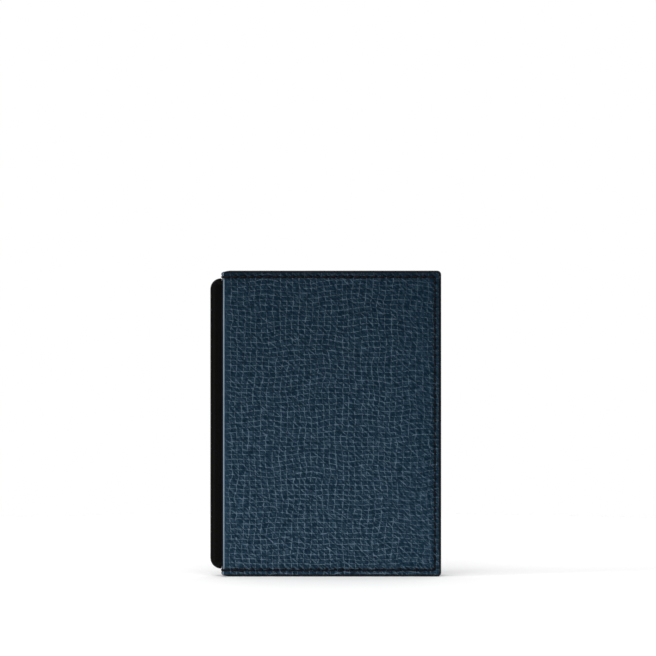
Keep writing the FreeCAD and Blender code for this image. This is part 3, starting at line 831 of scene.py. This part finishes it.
# One coat round the sleeve's walls, and one round each slot's layers: where each starts, and its Y range.
# A coat stops a little short of the faces, so that the leather's rounded edges stand clear of it.
layers = [(mouth_x + 1.0 * MM, front_y + 0.10 * MM, back_y - 0.06 * MM)]
for number, (node, start) in enumerate(zip(slot_nodes, slot_mouths), 1):
    strips_y, facing_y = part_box(f"slot_strips_{number}")[0][1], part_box(node)[1][1]
    layers.append((start + 0.35 * MM, strips_y, facing_y - 0.08 * MM))
sleeve_coats = []
for start, y0, y1 in layers:
    path, normals = outline_path([
        (start, leather_base_z, 0), (leather_far_x, leather_base_z, FAR_CORNER_R),
        (leather_far_x, leather_top_z, FAR_CORNER_R), (start, leather_top_z, 0),
    ], COAT_STEP)
    sleeve_coats.append(edge_strip(path, normals, y0, y1, coat, COAT_SUNK))
join("sleeve_painted_edge", "sleeve_edge_paint", "sleeve", "edge_paint", sleeve_coats)

# ---- insert ---------------------------------------------------------------------------------------
INSERT_LEATHER_STEP = 0.6 * MM
GRIP_CORNER_R = 3.4 * MM
INSERT_FAR_R = 1.7 * MM
WINDOW_SEAM_OFFSET = 1.8 * MM
WINDOW_R = 4.0 * MM
THUMB_R = 7.0 * MM
CREASE_INSET = 0.8 * MM      # the line tooled inside every edge
INSERT_THREAD_R = 0.2 * MM
INSERT_FACE_ROUND = 0.16 * MM
INSERT_CREASE_DEPTH = 0.09 * MM
INSERT_GROOVE_DEPTH = 0.14 * MM
INSERT_HOLE_DEPTH = 0.12 * MM
THREAD_SUNK = 0.09 * MM
INSERT_COAT_STEP = 0.4 * MM
INSERT_COAT_SUNK = 0.25 * MM
COAT_MARGIN = 0.05 * MM      # the coat stops this far short of both faces

# The insert's back lining has its whole outline: the grip is taller than the body beyond the shoulder.
blank = np.array([v.co for v in frame["nodes"]["id_back_lining"].data.vertices])
insert_x0, insert_x1 = blank[:, 0].min(), blank[:, 0].max()
grip_half = blank[:, 2].max() - mid_z
body_half = blank[blank[:, 0] > 0][:, 2].max() - mid_z
low_grip, high_grip = mid_z - grip_half, mid_z + grip_half
low_z, high_z = mid_z - body_half, mid_z + body_half
shoulder_x = blank[blank[:, 2] > high_z + 0.1 * MM][:, 0].max()
id_front_stitches = stitches_of("id_front_seam_thread")
id_back_stitches = stitches_of("id_back_seam_thread")
id_window_stitches = stitches_of("id_window_thread")
id_seam_x = np.median([x for x in id_front_stitches[:, :, 0].ravel() if x < shoulder_x + SEAM_MARGIN])
id_seam_half = np.median(np.abs(id_front_stitches[:, :, 2] - mid_z)[id_front_stitches[:, :, 0] > 0])
window_middle = id_window_stitches.mean(axis=1)
low, high = window_middle.min(axis=0), window_middle.max(axis=0)
window_seam = (low[0], high[0], low[2], high[2])
window = (low[0] + WINDOW_SEAM_OFFSET, high[0] - WINDOW_SEAM_OFFSET,
          low[2] + WINDOW_SEAM_OFFSET, high[2] - WINDOW_SEAM_OFFSET)


def round_box(x, z, x0, x1, z0, z1, left_r, right_r):
    """Signed distance to a box with rounded corners, below 0 inside."""
    r = np.where(x < (x0 + x1) / 2, left_r, right_r)
    qx = np.abs(x - (x0 + x1) / 2) - (x1 - x0) / 2 + r
    qz = np.abs(z - (z0 + z1) / 2) - (z1 - z0) / 2 + r
    return np.minimum(np.maximum(qx, qz), 0) + np.hypot(np.maximum(qx, 0), np.maximum(qz, 0)) - r


def insert_edge(x, z):
    """Signed distance to the insert's outline: a taller grip, and the body that goes into the sleeve."""
    grip = round_box(x, z, insert_x0, shoulder_x, low_grip, high_grip, GRIP_CORNER_R, 0)
    body = round_box(x, z, shoulder_x - 2 * MM, insert_x1, low_z, high_z, 0, INSERT_FAR_R)
    return np.minimum(grip, body)


def frame_edge(x, z):
    """The same outline with the window and the thumb notch cut out."""
    thumb = THUMB_R - np.hypot(x - insert_x1, z - mid_z)
    return np.maximum(np.maximum(insert_edge(x, z), thumb), -round_box(x, z, *window, WINDOW_R, WINDOW_R))


def seam_distance(x, z, with_window):
    """Distance to the insert's seams: round the grip and both sides, and round the window."""
    beside = np.abs(np.abs(z - mid_z) - id_seam_half)
    sides = np.hypot(beside, np.clip(id_seam_x - x, 0, None))
    end = np.hypot(x - id_seam_x, np.clip(np.abs(z - mid_z) - id_seam_half, 0, None))
    nearest_seam = np.minimum(sides, end)
    if with_window:
        nearest_seam = np.minimum(nearest_seam, np.abs(round_box(x, z, *window_seam, 0, 0)))
    return nearest_seam


def stations_through(edges, start, end, step):
    """Stations from start to end about a step apart, with closer ones on both sides of every edge."""
    close = np.array([-0.32, -0.14, -0.05, 0, 0.05, 0.14, 0.32]) * MM
    marks = np.clip(np.concatenate([np.add.outer(edges, close).ravel(), [start, end]]), start, end)
    marks = np.unique(np.round(marks, 5))
    stations = [marks[:1]]
    for a, b in zip(marks, marks[1:]):
        count = max(1, round((b - a) / step))
        stations.append(np.linspace(a, b, count + 1)[1:])
    return np.concatenate(stations)


def insert_leather(name, node, edge, out, stitches, with_window):
    """A sheet of the insert's leather in place of a CAD node: edges rounded, creased and sewn."""
    lo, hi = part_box(node)
    face_y, inner_y = (lo[1], hi[1]) if out < 0 else (hi[1], lo[1])
    x_edges = [insert_x0, insert_x1, shoulder_x, id_seam_x]
    z_edges = [low_grip, high_grip, low_z, high_z, mid_z - id_seam_half, mid_z + id_seam_half]
    if with_window:
        x_edges += window[:2]
        z_edges += window[2:]
    xs = stations_through(x_edges, insert_x0, insert_x1, INSERT_LEATHER_STEP)
    zs = stations_through(z_edges, low_grip, high_grip, INSERT_LEATHER_STEP)
    x, z = np.meshgrid(xs, zs, indexing="ij")
    gaps = []
    for stations in (xs, zs):
        gap = np.diff(stations, prepend=-1, append=1)
        gaps.append(np.minimum(gap[:-1], gap[1:]))
    # The grid's points nearest the outline move onto it, and faces outside it go.
    tiny = 1e-3 * MM
    for _ in range(2):
        distance = edge(x, z)
        slope_x = (edge(x + tiny, z) - edge(x - tiny, z)) / (2 * tiny)
        slope_z = (edge(x, z + tiny) - edge(x, z - tiny)) / (2 * tiny)
        reach = np.maximum(np.abs(slope_x) * gaps[0][:, None], np.abs(slope_z) * gaps[1][None]) / 2
        near = np.abs(distance) < reach
        x, z = x - np.where(near, distance * slope_x, 0), z - np.where(near, distance * slope_z, 0)
    outside = edge(x, z) > 0.02 * MM
    index = np.arange(x.size).reshape(x.shape)
    corners = np.stack([index[:-1, :-1], index[1:, :-1], index[1:, 1:], index[:-1, 1:]], axis=2)
    corners = corners.reshape(-1, 4)
    missing = outside.ravel()[corners]
    faces = [f.tolist() for f in corners[missing.sum(axis=1) == 0]]
    cut = missing.sum(axis=1) == 1
    faces += [f[~m].tolist() for f, m in zip(corners[cut], missing[cut])]
    inset = -edge(x, z)
    holes = nearest(x, z, stitches.reshape(-1, 3))
    crease = np.exp(-((inset - CREASE_INSET) / (0.17 * MM)) ** 2)
    height = -corner_inset(np.clip(inset, 0, None), INSERT_FACE_ROUND) - INSERT_CREASE_DEPTH * crease
    height -= INSERT_GROOVE_DEPTH * np.exp(-(seam_distance(x, z, with_window) / (0.34 * MM)) ** 2)
    height -= INSERT_HOLE_DEPTH * np.exp(-(holes / (0.4 * MM)) ** 2)
    front = np.stack([x, face_y + out * height, z], axis=2).reshape(-1, 3)
    back = np.stack([x, np.full_like(x, inner_y), z], axis=2).reshape(-1, 3)
    edges = dict.fromkeys((a, b) for f in faces for a, b in zip(f, f[1:] + f[:1]))
    walls = [[a, b, b + x.size, a + x.size] for a, b in edges if (b, a) not in edges]
    faces = [f[::-1] for f in faces] + walls + [[i + x.size for i in f] for f in faces]
    used = np.unique(np.concatenate([np.array(f) for f in faces]))
    renumber = np.zeros(2 * x.size, dtype=int)
    renumber[used] = np.arange(len(used))
    crease_all = np.concatenate([crease.ravel(), np.zeros(x.size)])
    vertices = np.concatenate([front, back])[used]
    faces = [renumber[f] for f in faces]
    obj = mesh_object(name, vertices, faces, "id_insert", {"crease": crease_all[used]})
    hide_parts(node)
    paint(obj, FINISHES["leather_black"])


insert_leather("id_window_frame_leather", "id_window_frame", frame_edge, -1,
               np.concatenate([id_front_stitches, id_window_stitches]), True)
insert_leather("id_back_panel_leather", "id_back_panel", insert_edge, 1, id_back_stitches, False)

frame_face_y, back_face_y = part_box("id_window_frame")[0][1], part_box("id_back_panel")[1][1]
for name, node, stitches, face_y, out in (
    ("id_front_stitches", "id_front_seam_thread", id_front_stitches, frame_face_y, -1),
    ("id_window_stitches", "id_window_thread", id_window_stitches, frame_face_y, -1),
    ("id_back_stitches", "id_back_seam_thread", id_back_stitches, back_face_y, 1),
):
    thread_y = face_y - out * THREAD_SUNK
    tubes = [tube(stitch_points(a, b, thread_y, out), INSERT_THREAD_R) for a, b in stitches]
    join(name, node, "id_insert", "thread", tubes)

path, normals = outline_path([
    (insert_hi[0], high_z, 0), (shoulder_x, high_z, 0),
    (shoulder_x, high_grip, 0), (insert_x0, high_grip, GRIP_CORNER_R),
    (insert_x0, low_grip, GRIP_CORNER_R), (shoulder_x, low_grip, 0),
    (shoulder_x, low_z, 0), (insert_hi[0], low_z, 0),
], INSERT_COAT_STEP)
insert_coat = edge_strip(path, normals, insert_lo[1] + COAT_MARGIN, insert_hi[1] - COAT_MARGIN,
                         insert_x0 - insert_lo[0], INSERT_COAT_SUNK)
join("id_painted_edge", "id_edge_paint", "id_insert", "edge_paint", [insert_coat])

# ---- carried-over CAD nodes -----------------------------------------------------------------------
slots = {part["node"]: part["material_slot"] for part in frame["record"]["subparts"]}
for node, obj in frame["nodes"].items():
    paint(obj, FINISHES[slots[node]])

# ---- floor, light and camera ----------------------------------------------------------------------
FLOOR_R = 0.34
bpy.ops.mesh.primitive_circle_add(
    vertices=96, radius=FLOOR_R, fill_type="NGON", location=(0, 0, coat_lo[2]),
)
floor = bpy.context.object
floor.name = "studio_floor"
paint(floor, floor_paper())


def area_light(name, place, target, size, watts):
    """A rectangular light at place that faces target."""
    data = bpy.data.lights.new(name, "AREA")
    data.shape = "RECTANGLE"
    data.size, data.size_y = size
    data.energy = watts
    light = bpy.data.objects.new(name, data)
    light.location = place
    towards = bpy.context.scene.cursor.location.copy()
    towards.xyz = [t - p for t, p in zip(target, place)]
    light.rotation_euler = towards.to_track_quat("-Z", "Y").to_euler()
    bpy.context.scene.collection.objects.link(light)


area_light("front_softbox", (-0.15, -0.55, 1.2), (0, 0, 0.0), (0.9, 0.9), 4.5)
area_light("left_strip", (-1.2, -0.35, 0.3), (0, 0, 0.05), (0.3, 1.0), 8.5)

world = bpy.data.worlds.new("studio")
bpy.context.scene.world = world
world.use_nodes = True
w = Nodes(world.node_tree)
background = world.node_tree.nodes["Background"]
upward = w.add("ShaderNodeSeparateXYZ", {0: w.add("ShaderNodeTexCoord").outputs["Generated"]}).outputs[2]
dome = w.fade(upward, 0.30, 1.0, 0.05, 1.57)
ray = w.add("ShaderNodeLightPath").outputs["Is Camera Ray"]
background.inputs["Color"].default_value = (1, 1, 1, 1)
w.feed(background.inputs["Strength"], w.math("MAXIMUM", dome, ray))

bpy.context.scene.view_settings.view_transform = "Standard"
bpy.context.scene.view_settings.look = "None"

CAMERA_DISTANCE = 1.0
CAMERA_HEIGHT = 0.0853
CAMERA_SHIFT = 0.0008
LENS_MM, SENSOR_MM = 159.95, 36
camera_data = bpy.data.cameras.new("camera")
camera_data.lens = LENS_MM
camera_data.sensor_width = SENSOR_MM
camera = bpy.data.objects.new("camera", camera_data)
camera.location = (CAMERA_SHIFT, front_y - CAMERA_DISTANCE, CAMERA_HEIGHT)
camera.rotation_euler = (math.pi / 2, 0, 0)
bpy.context.scene.collection.objects.link(camera)
bpy.context.scene.camera = camera
